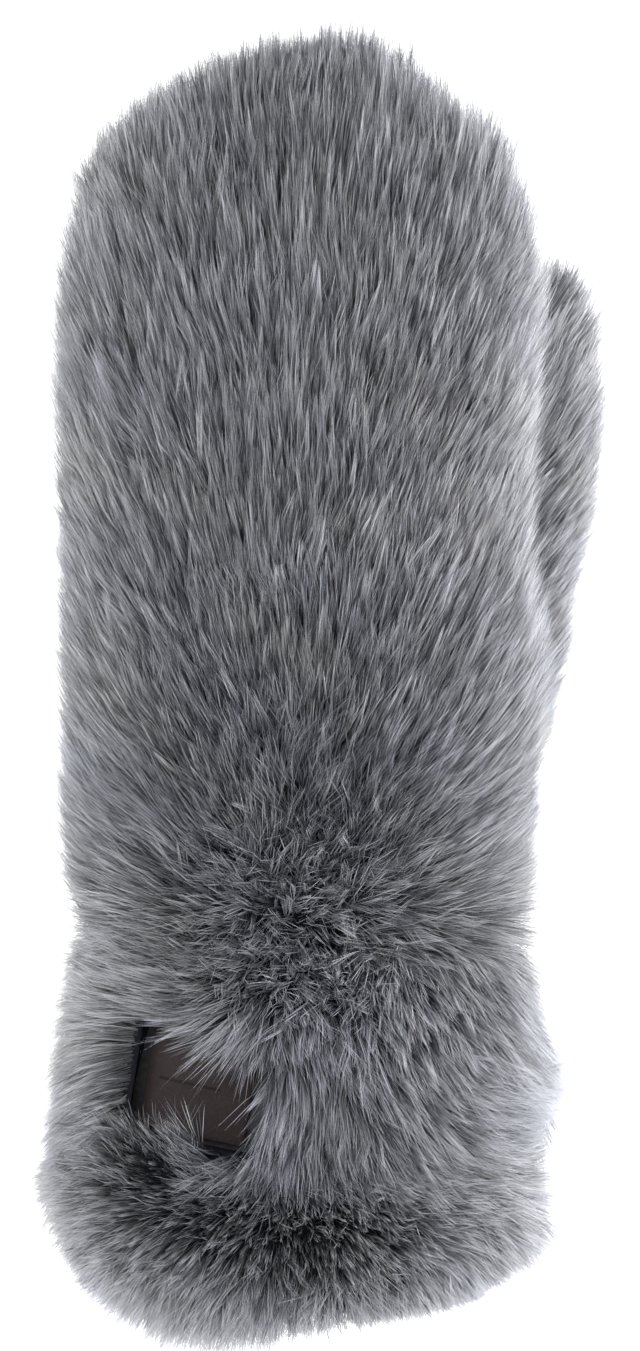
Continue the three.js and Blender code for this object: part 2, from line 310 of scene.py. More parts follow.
# The stage, in metres and watts
FLOOR_Z = -0.5
FLOOR_SIZE = 8.0
WORLD_LIGHT = 1.5
AIM = (0.0, 0.0, 0.125)
SKY = dict(turn=(math.radians(-12), math.radians(10), 0), power=1.3, angle=math.radians(50))
CAMERA = dict(place=(0.0045, -0.7, 0.123), lens=91.0, sensor=36.0)
LIGHTS = [
    dict(name="right_light", place=(0.9, 0.35, 0.3), size=1.2, power=80.0),
    dict(name="left_light", place=(-0.9, 0.3, 0.35), size=1.2, power=36.0),
]


def spline(values, t):
    """Catmull-Rom curve through evenly spaced values, at places t counted in rows."""
    values = np.asarray(values, float)
    i = np.clip(np.floor(t).astype(int), 0, len(values) - 2)
    w = t - i
    before, here = values[np.maximum(i - 1, 0)], values[i]
    ahead, after = values[i + 1], values[np.minimum(i + 2, len(values) - 1)]
    slope, next_slope = (ahead - before) / 2, (after - here) / 2
    cubic = 2 * here - 2 * ahead + slope + next_slope
    square = -3 * here + 3 * ahead - 2 * slope - next_slope
    return ((cubic * w + square) * w + slope) * w + here


def sections(rows, count):
    """Level sections of a form, from its table: arrays of z, centre x, y and half widths, in metres."""
    t = np.linspace(0, len(rows) - 1, count)
    col = {name: spline([row[name] for row in rows], t) * MM for name in rows[0]}
    if "radius" in col:
        return np.stack([col["z"], col["x"], col["y"], col["radius"], col["radius"]], 1), col["pile"]
    x, y = (col["right"] - col["left"]) / 2, (col["back"] - col["front"]) / 2
    wide, deep = (col["right"] + col["left"]) / 2, (col["back"] + col["front"]) / 2
    return np.stack([col["z"], x, y, wide, deep], 1), col["pile"]


def level(rows, z, count=60):
    """Centre, half widths and pile of a form at heights z."""
    table, pile = sections(rows, count)
    return [np.interp(z, table[:, 0], column) for column in (*table.T[1:], pile)]


def inside(rows, points, grow=0.0):
    """Which points lie inside a form, grown by a distance."""
    x, y, wide, deep, _ = level(rows, points[:, 2])
    wide, deep = np.maximum(wide + grow, 1e-6), np.maximum(deep + grow, 1e-6)
    within = ((points[:, 0] - x) / wide) ** 2 + ((points[:, 1] - y) / deep) ** 2 < 1
    low, high = rows[0]["z"] * MM, rows[-1]["z"] * MM
    return within & (points[:, 2] > low - grow) & (points[:, 2] < high + grow)


def unit(vectors):
    return vectors / np.maximum(np.linalg.norm(vectors, axis=-1, keepdims=True), 1e-12)


def tangent(vectors, normals):
    """The part of each vector that lies along the surface, at unit length."""
    return unit(vectors - (vectors * normals).sum(-1, keepdims=True) * normals)


# Shader maths as Python expressions
class Value:
    """A number or colour socket that can be used in expressions."""

    def __init__(self, shader, socket):
        self.shader, self.socket = shader, socket

    def maths(self, operation, *others):
        links = dict(enumerate([self, *others]))
        return self.shader.node("ShaderNodeMath", dict(operation=operation), links)

    def __add__(self, other):
        return self.maths("ADD", other)

    def __sub__(self, other):
        return self.maths("SUBTRACT", other)

    def __rsub__(self, other):
        return self.maths("MULTIPLY_ADD", -1.0, other)

    def __mul__(self, other):
        return self.maths("MULTIPLY", other)

    __radd__ = __add__
    __rmul__ = __mul__


class Shader:
    """A material and the way its nodes are added."""

    def __init__(self, name):
        self.material = bpy.data.materials.new(name)
        self.material.use_nodes = True
        self.tree = self.material.node_tree
        self.surface = self.tree.nodes["Principled BSDF"]

    def node(self, kind, settings=None, inputs=None, output=0):
        node = self.tree.nodes.new(kind)
        for name, value in (settings or {}).items():
            if name == "stops":
                self.set_stops(node.color_ramp, value)
            else:
                setattr(node, name, value)
        for key, value in (inputs or {}).items():
            self.feed(node.inputs[key], value)
        return Value(self, node.outputs[output])

    def set_stops(self, ramp, stops):
        while len(ramp.elements) < len(stops):
            ramp.elements.new(1.0)
        for element, (place, colour) in zip(ramp.elements, stops):
            element.position, element.color = place, (*colour, 1.0)

    def feed(self, socket, value):
        if isinstance(value, Value):
            self.tree.links.new(value.socket, socket)
        else:
            socket.default_value = value

    def mix(self, factor, first, second):
        inputs = {0: factor, 6: first, 7: second}
        return self.node("ShaderNodeMix", dict(data_type="RGBA"), inputs, output=2)

    def finish(self, **inputs):
        for name, value in inputs.items():
            self.feed(self.surface.inputs[name.replace("_", " ").title()], value)
        return self.material


def scaled(colour, factor=1.0):
    """A colour for a socket, lighter or darker than it was."""
    return (*(factor * part for part in colour), 1.0)


def grey(value):
    return scaled((value,) * 3)


# Settings that a user would change
class MittenColours(bpy.types.PropertyGroup):
    # partly painted shade: the dark roots stand for the shade deep in the fur as well as their own colour
    root: bpy.props.FloatVectorProperty(
        name="Roots", description="Colour of the fur at the cloth", subtype="COLOR",
        default=(0.0125, 0.013, 0.0175))
    tip_dark: bpy.props.FloatVectorProperty(
        name="Dark tips", description="Tip colour of the darkest hairs", subtype="COLOR",
        default=(0.066, 0.069, 0.081))
    tip_light: bpy.props.FloatVectorProperty(
        name="Light tips", description="Tip colour of the lightest hairs", subtype="COLOR",
        default=(0.592, 0.6, 0.625))
    glow: bpy.props.FloatVectorProperty(
        name="Glow", description="Colour of the light that comes through the hairs", subtype="COLOR",
        default=(0.34, 0.342, 0.36))
    # partly painted shade: the backing is made dark for the shade in the gap round the label
    cloth: bpy.props.FloatVectorProperty(
        name="Cloth", description="Colour of the knitted backing", subtype="COLOR",
        default=(0.03, 0.03, 0.034))
    label: bpy.props.FloatVectorProperty(
        name="Label", description="Colour of the suede label", subtype="COLOR",
        default=(0.015, 0.0104, 0.0109))


class MittenFur(bpy.types.PropertyGroup):
    density: bpy.props.FloatProperty(
        name="Density", description="Hairs on a square millimetre of the back", default=9.0, min=0.1)
    width: bpy.props.FloatProperty(
        name="Width", description="Width of a hair at its middle, in millimetres", default=0.175)
    lock: bpy.props.FloatProperty(
        name="Lock", description="Distance between the locks, in millimetres", default=0.8)
    gather: bpy.props.FloatProperty(
        name="Gather", description="How far the tips of a lock draw together", subtype="FACTOR",
        default=0.68)


class MittenSizes(bpy.types.PropertyGroup):
    wall: bpy.props.FloatProperty(
        name="Cloth", description="Thickness of the cloth, in millimetres", default=2.0)
    sides: bpy.props.IntProperty(name="Sides", description="Sides of the hand and cuff forms", default=32)
    rings: bpy.props.IntProperty(name="Rings", description="Rings up each form", default=14)


# Modelling
def clear_selection():
    if bpy.context.object and bpy.context.object.mode != "OBJECT":
        bpy.ops.object.mode_set(mode="OBJECT")
    bpy.ops.object.select_all(action="DESELECT")


def apply(piece, kind, **settings):
    """Adds a modifier with its settings and applies it."""
    modifier = piece.modifiers.new(kind.title(), kind)
    for name, value in settings.items():
        setattr(modifier, name, value)
    bpy.context.view_layer.objects.active = piece
    bpy.ops.object.modifier_apply(modifier=modifier.name)


def place_in_mesh(piece):
    clear_selection()
    piece.select_set(True)
    bpy.context.view_layer.objects.active = piece
    bpy.ops.object.transform_apply(location=True, rotation=True, scale=True)


def loft(name, table, sides):
    """A skin through level sections: a circle drawn up ring by ring, closed where it ends in a point."""
    clear_selection()
    z, x, y, wide, deep = table[0]
    bpy.ops.mesh.primitive_circle_add(vertices=sides, radius=1.0, location=(x, y, z))
    piece = bpy.context.object
    piece.name = piece.data.name = name
    piece.scale = (wide, deep, 1.0)
    place_in_mesh(piece)
    bpy.ops.object.mode_set(mode="EDIT")
    bpy.ops.mesh.select_all(action="SELECT")
    for row in table[1:]:
        step = (row[1] - x, row[2] - y, row[0] - z)
        bpy.ops.mesh.extrude_region_move(TRANSFORM_OT_translate=dict(value=step))
        if row[3] < MM / 10:
            bpy.ops.mesh.merge(type="CENTER")
            break
        growth = (row[3] / wide, row[4] / deep, 1.0)
        bpy.ops.transform.resize(value=growth, center_override=(row[1], row[2], row[0]))
        z, x, y, wide, deep = row
    bpy.ops.mesh.select_all(action="SELECT")
    bpy.ops.mesh.normals_make_consistent(inside=False)
    bpy.ops.object.mode_set(mode="OBJECT")
    return piece


def cap(piece):
    """Closes the open ends of a skin."""
    clear_selection()
    bpy.context.view_layer.objects.active = piece
    bpy.ops.object.mode_set(mode="EDIT")
    bpy.ops.mesh.select_all(action="DESELECT")
    bpy.ops.mesh.select_mode(type="EDGE")
    bpy.ops.mesh.select_non_manifold()
    bpy.ops.mesh.edge_face_add()
    bpy.ops.mesh.select_all(action="SELECT")
    bpy.ops.mesh.normals_make_consistent(inside=False)
    bpy.ops.object.mode_set(mode="OBJECT")


def skin_table(rows, rings, grow=0.0, share=0.0, hem=False):
    """Level sections of a form, grown by a distance and a share of the pile.

    With a hem they turn in under the foot of the form.
    """
    table, pile = sections(rows, rings)
    foot = table[0].copy()
    closed = table[:, 3] < MM / 10
    table[:, 3:] += np.where(closed, 0.0, grow + share * pile)[:, None]
    table[closed, 0] += grow + share * pile[closed]
    if hem:
        turns, reach = np.radians(HEM_TURNS)[:, None], grow + share * pile[0]
        down, out = np.array([[HEM_DEPTH, 0, 0, 0, 0]]), np.array([[0, 0, 0, 1, 1]])
        table = np.vstack([foot, foot + (down * np.sin(turns) + out * np.cos(turns)) * reach, table])
    return table


def skin(name, rows, sides, rings, **growth):
    """The outside of a form as a smoothed piece."""
    piece = loft(name, skin_table(rows, rings, **growth), sides)
    apply(piece, "SUBSURF", levels=SMOOTH, render_levels=SMOOTH)
    return piece


def finished(piece, nodes, material):
    """Gives a piece its material and its place on the body, and hides the solids that it stands for."""
    for polygon in piece.data.polygons:
        polygon.use_smooth = True
    piece.data.materials.clear()
    piece.data.materials.append(material)
    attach(piece, BODY)
    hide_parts(*nodes)
    return piece


# Fur
def rounded(table, count):
    """Rows on the cubic B-spline through a table's rows, which is where a smoothed skin lies."""
    closed = table[-1, 3] < MM / 10
    beyond = table[-2] * (1, 1, 1, -1, -1) if closed else 2 * table[-1] - table[-2]
    rows = np.vstack([2 * table[0] - table[1], table, beyond])
    t = np.linspace(0, len(table) - 1, count)
    i = np.minimum(t.astype(int), len(table) - 2)
    w = (t - i)[:, None]
    shares = ((1 - w) ** 3, 3 * w**3 - 6 * w**2 + 4, 3 * w + 3 * w**2 - 3 * w**3 + 1, w**3)
    return sum(share * rows[i + k] for k, share in enumerate(shares)) / 6


def surface(table, sides):
    """Points and triangles where the smoothed skin of a table lies, the same in every run."""
    fine = 2**SMOOTH
    table = rounded(table, fine * len(table))
    table[:, 3:] *= (2 + math.cos(2 * math.pi / sides)) / 3
    around = np.arange(fine * sides)
    angle = 2 * math.pi * around / len(around)
    z, x, y, wide, deep = table.T[:, :, None]
    points = np.stack([x + wide * np.cos(angle), y + deep * np.sin(angle), z + 0 * angle], -1)
    ring = len(around) * np.arange(len(table) - 1)[:, None]
    here, beside, up = ring + around, ring + (around + 1) % len(around), len(around)
    corners = np.stack([here, beside, beside + up, here, beside + up, here + up], -1)
    return points.reshape(-1, 3), corners.reshape(-1, 3)


def scatter(place, corners, count, rng):
    """Random places on a skin, spread evenly, with the smooth normals there."""
    a, b, c = (place[corners[:, k]] for k in range(3))
    square = np.cross(b - a, c - a)
    area = np.linalg.norm(square, axis=1) / 2
    normal = np.zeros(place.shape)
    for k in range(3):
        np.add.at(normal, corners[:, k], square)
    normal = unit(normal)
    number = int(count * area.sum() / MM**2)
    pick = corners[rng.choice(len(corners), number, p=area / area.sum())]
    root, across = np.sqrt(rng.random(number)), rng.random(number)
    weights = np.stack([1 - root, root * (1 - across), root * across], 1)[:, :, None]
    return (place[pick] * weights).sum(1), unit((normal[pick] * weights).sum(1))


def wander(points, size, seed, waves=7):
    """Smooth noise from -1 to 1, whose lumps are about size across."""
    rng = np.random.default_rng(seed)
    ways = unit(rng.normal(size=(waves, 3))) / size * rng.uniform(0.7, 1.5, (waves, 1))
    starts = rng.uniform(0, 2 * math.pi, waves)
    return np.sin(2 * math.pi * (points @ ways.T) + starts).sum(1) / math.sqrt(waves * 2)


def turned(vectors, axes, angles):
    """Vectors turned about the unit axes that they are square to."""
    return vectors * np.cos(angles)[:, None] + np.cross(axes, vectors) * np.sin(angles)[:, None]


def nap(points, normals, up=1.0):
    """The way the fur is combed: along the surface, away from the middle of the wrist seam.

    On the palm's side it runs nearly straight, up the hand or down the cuff.
    """
    away = points - np.array(NAP_SOURCE) * MM
    palm = np.clip(2 * normals[:, 1], 0, 1)
    away[:, 0] *= 1 - PALM_STRAIGHT * palm
    away[:, 2] += up * PALM_COMB * MM * palm
    return tangent(away, normals)


def patched(points, normals, patches, name):
    """The sum of some patches of the front for one of their properties."""
    x, z = points[:, 0] / MM, points[:, 2] / MM
    total = np.zeros(len(points))
    for patch in patches:
        away = ((x - patch["x"]) ** 2 + (z - patch["z"]) ** 2) / patch["reach"] ** 2
        total += patch.get(name, 0) * np.exp(-away)
    return total * (normals[:, 1] < 0.3)


def cuff_nap(points, normals):
    """The nap of the cuff: the combed places on the front, and the plain nap elsewhere."""
    plain = nap(points, normals, up=-1.0)
    way = COMB_BASE * plain
    front = np.clip(-normals[:, 1] * 2, 0, 1)
    x, z = points[:, 0] / MM, points[:, 2] / MM
    for across, up, degrees in CUFF_COMB:
        away = ((x - across) ** 2 + (z - up) ** 2) / COMB_REACH**2
        turn = math.radians(degrees)
        weight = front * np.exp(-away)
        way += weight[:, None] * tangent(np.array([[math.cos(turn), 0, math.sin(turn)]]), normals)
    return tangent(way, normals)


class Coat:
    """The hairs of one part of the mitten, worked out together and made into one or more pieces."""

    def __init__(self, base, rows, fur, comb, seed, rise=(54, 17), mess=7.0, sway=9.0, ruffle=1.0):
        self.rng = np.random.default_rng(seed)
        self.fur, self.rows, self.comb, self.seed = fur, rows, comb, seed
        self.rise, self.mess, self.sway, self.ruffle = rise, mess, sway, ruffle
        self.roots, self.normals = scatter(*base, fur.density, self.rng)
        self.thin_palm()

    def keep(self, mask):
        self.roots, self.normals = self.roots[mask], self.normals[mask]

    def thin_palm(self):
        palm = self.normals[:, 1] > 0
        self.keep(~palm | (self.rng.random(len(self.roots)) < PALM_SHARE))

    def drift(self, name):
        """How a property drifts from place to place."""
        total = 0.0
        for row in DRIFTS[name]:
            total += row["share"] * wander(self.roots, row["size"] * MM, self.seed + row["seed"])
        return total

    def grow(self):
        """Lays out the hairs: their lock, their way, their length, their curve and their tone."""
        rng, roots, normals = self.rng, self.roots, self.normals
        number = len(roots)
        heads, lock = self.clumps(self.fur.lock)
        lock_turn, lock_rise, lock_long, lock_tone = rng.normal(size=(4, len(heads)))
        mess = self.mess * (1 + self.drift("mess")) + patched(roots, normals, CROWNS, "mess")
        own_turn = HAIR_TURN * rng.normal(size=number)
        turn = np.radians(self.sway * self.drift("sway") + mess * (lock_turn[lock] + own_turn))
        self.way = turned(self.comb(roots, normals), normals, turn)
        lift = LOCK_LIFT * lock_rise[lock] + HAIR_LIFT * rng.normal(size=number)
        lift += patched(roots, normals, CROWNS, "lift")
        down, up = np.clip(-normals[:, 2], 0, 1), np.clip(normals[:, 2], 0, 1)
        lift += HEM_LIFT * down + TOP_LIFT * up**2
        root_rise = np.radians(np.clip(self.rise[0] + lift, *ROOT_RISES))
        tip_rise = np.radians(np.clip(self.rise[1] + TIP_LIFT * lift, *TIP_RISES))
        self.guard = rng.random(number) < GUARD_SHARE
        share = self.drift("full") + LOCK_LONG * lock_long[lock]
        share += np.where(self.guard, rng.uniform(*GUARD_LONG, number), rng.uniform(*SHORT_LONG, number))
        self.stray = self.guard & (rng.random(number) < STRAYS)
        share += STRAY_LONGER * self.stray + patched(roots, normals, PATCHES, "full")
        pile = level(self.rows, roots[:, 2])[4] * (1 - ROOT_SHARE)
        middle = np.maximum((root_rise + tip_rise) / 2, math.radians(MIDDLE_LEAST))
        self.curves = self.bend(pile * np.clip(share, *LENGTHS) / np.sin(middle), root_rise, tip_rise)
        self.trim()
        edge = np.clip(EDGE_SLOPE * np.abs(normals[:, 0]) - EDGE_START, 0, 1)
        self.gather(*self.clumps(TUFT), np.full(number, TUFT_PULL * self.ruffle))
        loose = EDGE_LOOSE * np.clip(edge - EDGE_TOP * normals[:, 2], 0, 1)
        pull = self.fur.gather * self.ruffle * (1 - loose)
        self.gather(heads, lock, pull * np.clip(1 + LOCK_PULL * lock_rise[lock], *PULLS))
        # on the sides the tone is painted more even and paler for the light that falls there: painted light
        tone = (LOCK_TONE * lock_tone[lock] + HAIR_TONE * rng.normal(size=number)) * (1 - EDGE_CALM * edge)
        tone += TONE + GUARD_TONE * self.guard + STRAY_TONE * self.stray + EDGE_PAINTED_LIGHT * edge
        # the patches' tone adds painted light and shade
        tone += patched(roots, normals, PATCHES, "tone") + (1 - edge) * self.drift("tone")
        self.tone = np.clip(tone, 0, 1)

    def clumps(self, apart):
        """Heads of clumps that lie so far apart in millimetres, and the clump of each hair."""
        every = max(1, round(self.fur.density * apart**2))
        heads = np.arange(0, len(self.roots), every)
        return heads, self.nearest(heads)

    def nearest(self, heads):
        tree = KDTree(len(heads))
        for i, head in enumerate(heads):
            tree.insert(self.roots[head], i)
        tree.balance()
        return np.array([tree.find(root)[1] for root in self.roots])

    def bend(self, length, root_rise, tip_rise, steps=2):
        """Each hair's points, from the root to the tip."""
        points = [self.roots]
        for step in range(steps):
            angle = root_rise + (tip_rise - root_rise) * (step + 0.5) / steps
            stride = self.normals * np.sin(angle)[:, None] + self.way * np.cos(angle)[:, None]
            points.append(points[-1] + stride * (length / steps)[:, None])
        return np.stack(points, 1)

    def trim(self):
        """Shortens the hairs that would hang below the hem."""
        low = np.interp(self.roots[:, 0] / MM, HEM_X, HEM_Z)
        low += self.drift("hem")
        low = (low - HEM_LOOSE * self.rng.random(len(self.roots)) ** 2) * MM
        root, tip = self.curves[:, 0, 2], self.curves[:, -1, 2]
        kept = np.clip((root - low) / np.maximum(root - tip, MM / 1000), HEM_LEAST, 1)
        kept = np.where(tip < low, kept, 1.0)
        self.curves = self.roots[:, None] + (self.curves - self.roots[:, None]) * kept[:, None, None]

    def gather(self, heads, lock, pull):
        """Draws the hairs of each lock towards the middle one, the more the nearer the tip."""
        middle = self.curves[heads][lock]
        along = np.linspace(0, 1, self.curves.shape[1])[None, :, None] ** PULL_BEND
        self.curves += (middle - self.curves) * along * np.minimum(pull, PULL_MOST)[:, None, None]

    def pieces(self, parts, nodes, material):
        """A mesh for each named part, which is a mask over the hairs."""
        for name, mask in parts.items():
            piece = bpy.data.objects.new(name, self.ribbons(name, mask))
            bpy.context.scene.collection.objects.link(piece)
            finished(piece, nodes, material)

    def ribbons(self, name, mask):
        """A mesh of flat tapered hairs, with a map whose u is the hair's shade and v runs from root to tip.

        A guard hair is a root, a pair of points at its bend and a tip. The others are a pair and a tip.
        """
        curves, guard = self.curves[mask], self.guard[mask]
        number = len(curves)
        rng = np.random.default_rng(self.seed + 50)
        along = unit(curves[:, 2] - curves[:, 0])
        flat = tangent(np.cross(along, self.normals[mask]), along)
        side = turned(flat, along, rng.uniform(-TWIST, TWIST, number))
        width = self.fur.width * MM * rng.uniform(*WIDTHS, number)
        reach = side * (width * np.where(self.stray[mask], STRAY_WIDTH, 1))[:, None] / 2
        broad = np.where(guard[:, None], curves[:, 1], curves[:, 0])
        corners = np.stack([broad - reach, broad + reach, curves[:, 2], curves[:, 0]], 1)
        kept = np.ones((number, 4), bool)
        kept[:, 3] = guard
        index = (np.cumsum(kept) - 1).reshape(number, 4)
        outward = (np.cross(side, along) * self.normals[mask]).sum(1) < 0
        swap = np.where(outward[:, None], [[1, 0, 2, 3]], [[0, 1, 2, 3]])
        index_of = np.take_along_axis(index, swap, 1)
        tips, feet = index_of[:, [0, 1, 2]], index_of[guard][:, [1, 0, 3]]
        faces = np.vstack([tips, feet])
        bend = np.where(guard, BEND_V, ROOT_V)
        across = self.shade(mask, rng)[:, None] + UV_EDGE * np.array([[-1.0, 1.0, 0.0, 0.0]])
        up = np.stack([bend, bend, np.full(number, TIP_V), np.full(number, ROOT_V)], 1)
        uv = np.stack([across, up], -1)[kept]
        mesh = bpy.data.meshes.new(name)
        mesh.vertices.add(kept.sum())
        mesh.vertices.foreach_set("co", corners[kept].ravel())
        mesh.loops.add(faces.size)
        mesh.loops.foreach_set("vertex_index", faces.ravel())
        mesh.polygons.add(len(faces))
        mesh.polygons.foreach_set("loop_start", 3 * np.arange(len(faces)))
        mesh.update(calc_edges=True)
        mesh.uv_layers.new(name="OFBake").data.foreach_set("uv", uv[faces.ravel()].ravel())
        return mesh

    def shade(self, mask, rng):
        """Where each hair lies across the map: a band for its tint, and its tone within the band."""
        roots = self.roots[mask]
        tint = TINT_DRIFT["share"] * wander(roots, TINT_DRIFT["size"] * MM, SEED + TINT_DRIFT["seed"])
        tint += HAIR_TINT * rng.normal(size=len(roots))
        tint += patched(roots, self.normals[mask], PATCHES, "blue")
        band = np.clip(np.floor((tint + TINT_REACH) / (2 * TINT_REACH) * TINTS), 0, TINTS - 1)
        return (band + TINT_EDGE + (1 - 2 * TINT_EDGE) * self.tone[mask]) / TINTS


# Materials
def fur_material(colours):
    """Dark roots, partly painted shade, and pale tips, in four close tints that lie side by side on the
    hairs' map.
    """
    shader = Shader("fur")
    uv = shader.node("ShaderNodeUVMap", dict(uv_map="OFBake"))
    split = shader.node("ShaderNodeSeparateXYZ", None, {0: uv})
    across = split * float(TINTS)
    band = across.maths("FLOOR")
    tone = across.maths("FRACT")
    height = Value(shader, split.socket.node.outputs[1])
    tip = shader.mix(tone, scaled(colours.tip_dark), scaled(colours.tip_light))
    tint = shader.node("ShaderNodeValToRGB", dict(stops=TINT_STOPS), {0: band * (1 / TINTS) + TINT_SHIFT})
    multiply = dict(data_type="RGBA", blend_type="MULTIPLY")
    tinted = shader.node("ShaderNodeMix", multiply, {0: 1.0, 6: tip, 7: tint}, 2)
    rise = shader.node("ShaderNodeValToRGB", dict(stops=RISE_STOPS), {0: height})
    root = shader.mix(tone * tone * ROOT_GLOW, scaled(colours.root), scaled(colours.tip_light))
    colour = shader.mix(rise, root, tinted)
    shader.surface.inputs["Roughness"].default_value = 0.5
    shader.surface.inputs["Specular IOR Level"].default_value = 0.35
    through = shader.node("ShaderNodeBsdfTranslucent", None, {"Color": scaled(colours.glow)})
    share = rise * (tone * (1 - GLOW_LEAST) + GLOW_LEAST) * TRANSLUCENCE
    blend = shader.node("ShaderNodeMixShader", None, {0: share, 2: through})
    shader.tree.links.new(shader.surface.outputs[0], blend.socket.node.inputs[1])
    shader.tree.links.new(blend.socket, shader.tree.nodes["Material Output"].inputs[0])
    return shader.finish(base_color=colour)


def underfur_material(colours):
    """The dark wool under the hairs, its darkness partly painted shade for the depth of the fur."""
    shader = Shader("underfur")
    place = shader.node("ShaderNodeTexCoord", output=3)
    cloud = shader.node("ShaderNodeTexNoise", None, {0: place, "Scale": 900.0, "Detail": 3.0})
    colour = shader.mix(cloud, scaled(colours.root, 0.4), scaled(colours.root, 0.9))
    shader.surface.inputs["Roughness"].default_value = 1.0
    shader.surface.inputs["Specular IOR Level"].default_value = 0.0
    return shader.finish(base_color=colour)


def cloth_material(colours):
    """Knitted backing: fine ribs crossed by rows of stitches, dark in part as painted shade for the gap
    round the label.
    """
    shader = Shader("cloth")
    place = shader.node("ShaderNodeTexCoord", output=3)
    split = shader.node("ShaderNodeSeparateXYZ", None, {0: place})
    x, y, z = (Value(shader, split.socket.node.outputs[k]) for k in range(3))
    ribs = ((x + y * KNIT["lean"]) * KNIT["ribs"]).maths("SINE")
    rows = (z * KNIT["rows"]).maths("SINE")
    weave = (ribs * rows + 1.0) * 0.5
    cloud = shader.node("ShaderNodeTexNoise", None, {0: place, "Scale": 60.0, "Detail": 4.0})
    shade = weave * 0.5 + cloud * 0.5
    colour = shader.mix(shade, scaled(colours.cloth, 0.5), scaled(colours.cloth, 1.5))
    bump = shader.node("ShaderNodeBump", None, {"Height": weave, "Strength": 0.4, "Distance": 0.4 * MM})
    shader.surface.inputs["Roughness"].default_value = 0.9
    return shader.finish(base_color=colour, normal=bump)


def suede_material(colours):
    """Napped leather: a fine mottled grain with softly rubbed patches."""
    shader = Shader("suede")
    place = shader.node("ShaderNodeTexCoord", output=3)
    grain = shader.node("ShaderNodeTexNoise", None, {0: place, "Scale": SUEDE["grain"], "Detail": 3.0})
    rubbed = shader.node("ShaderNodeTexNoise", None, {0: place, "Scale": SUEDE["rubbed"], "Detail": 2.0})
    uv = shader.node("ShaderNodeUVMap", dict(uv_map="UVMap"))
    split = shader.node("ShaderNodeSeparateXYZ", None, {0: uv})
    along, up = split, Value(shader, split.socket.node.outputs[1])
    across = (up - LINE["up"]).maths("ABSOLUTE").maths("LESS_THAN", LINE["thick"] / 2)
    line = across * (along - LINE["middle"]).maths("ABSOLUTE").maths("LESS_THAN", LINE["long"] / 2)
    mottled = grain * SUEDE["mix"] + rubbed * (1 - SUEDE["mix"])
    shade = mottled * (1 - line * SUEDE["line"])
    colour = shader.mix(shade, scaled(colours.label, 0.3), scaled(colours.label, 1.8))
    relief = {"Height": grain - line, "Strength": 0.6, "Distance": 0.3 * MM}
    bump = shader.node("ShaderNodeBump", None, relief)
    shader.surface.inputs["Roughness"].default_value = 0.85
    shader.surface.inputs["Specular IOR Level"].default_value = 0.16
    return shader.finish(base_color=colour, normal=bump)


def floor_material():
    shader = Shader("floor")
    shader.surface.inputs["Base Color"].default_value = grey(0.86)
    shader.surface.inputs["Roughness"].default_value = 0.9
    return shader.material


_materials = {}


def material(name, make, *args):
    """Each material is made once and shared."""
    if name not in _materials:
        _materials[name] = make(*args)
    return _materials[name]


# Operators
class MITTEN_OT_walls(bpy.types.Operator):
    """Build the cloth walls of the hand, thumb and cuff"""

    bl_idname = "mitten.walls"
    bl_label = "Cloth walls"

    def execute(self, context):
        sizes, colours = context.scene.mitten_sizes, context.scene.mitten_colours
        cloth = material("cloth", cloth_material, colours)
        wall = sizes.wall * MM
        hand = skin("hand_cloth", HAND_ROWS, sizes.sides, sizes.rings)
        thumb = skin("thumb_cloth", THUMB_ROWS, sizes.sides, sizes.rings)
        cuff = skin("cuff_cloth", CUFF_ROWS, sizes.sides, sizes.rings)
        for piece in (hand, thumb, cuff):
            apply(piece, "SOLIDIFY", thickness=wall, offset=-1.0, use_rim=True)
        hollow = skin("hollow", THUMB_ROWS, sizes.sides, sizes.rings, grow=-wall)
        cap(hollow)
        apply(hand, "BOOLEAN", object=hollow, operation="DIFFERENCE", solver="EXACT")
        bpy.data.objects.remove(hollow)
        filled = skin("filled", HAND_ROWS, sizes.sides, sizes.rings, grow=WALL_GAP * MM)
        cap(filled)
        apply(thumb, "BOOLEAN", object=filled, operation="DIFFERENCE", solver="EXACT")
        bpy.data.objects.remove(filled)
        finished(hand, ["hand_wall"], cloth)
        finished(thumb, ["thumb_wall"], cloth)
        finished(cuff, ["cuff_wall"], cloth)
        return {"FINISHED"}


class FurOperator:
    """What the operators that grow fur share."""

    def coat(self, context, rows, comb, seed, hem=False, **settings):
        sizes = context.scene.mitten_sizes
        base = surface(skin_table(rows, sizes.rings, share=ROOT_SHARE, hem=hem), sizes.sides)
        return Coat(base, rows, context.scene.mitten_fur, comb, seed, **settings)

    def underfur(self, context, name, rows, nodes, hem=False):
        sizes = context.scene.mitten_sizes
        piece = skin(name, rows, sizes.sides, sizes.rings, share=UNDERFUR, hem=hem)
        wool = material("underfur", underfur_material, context.scene.mitten_colours)
        return finished(piece, nodes, wool)

    def fur(self, context):
        return material("fur", fur_material, context.scene.mitten_colours)


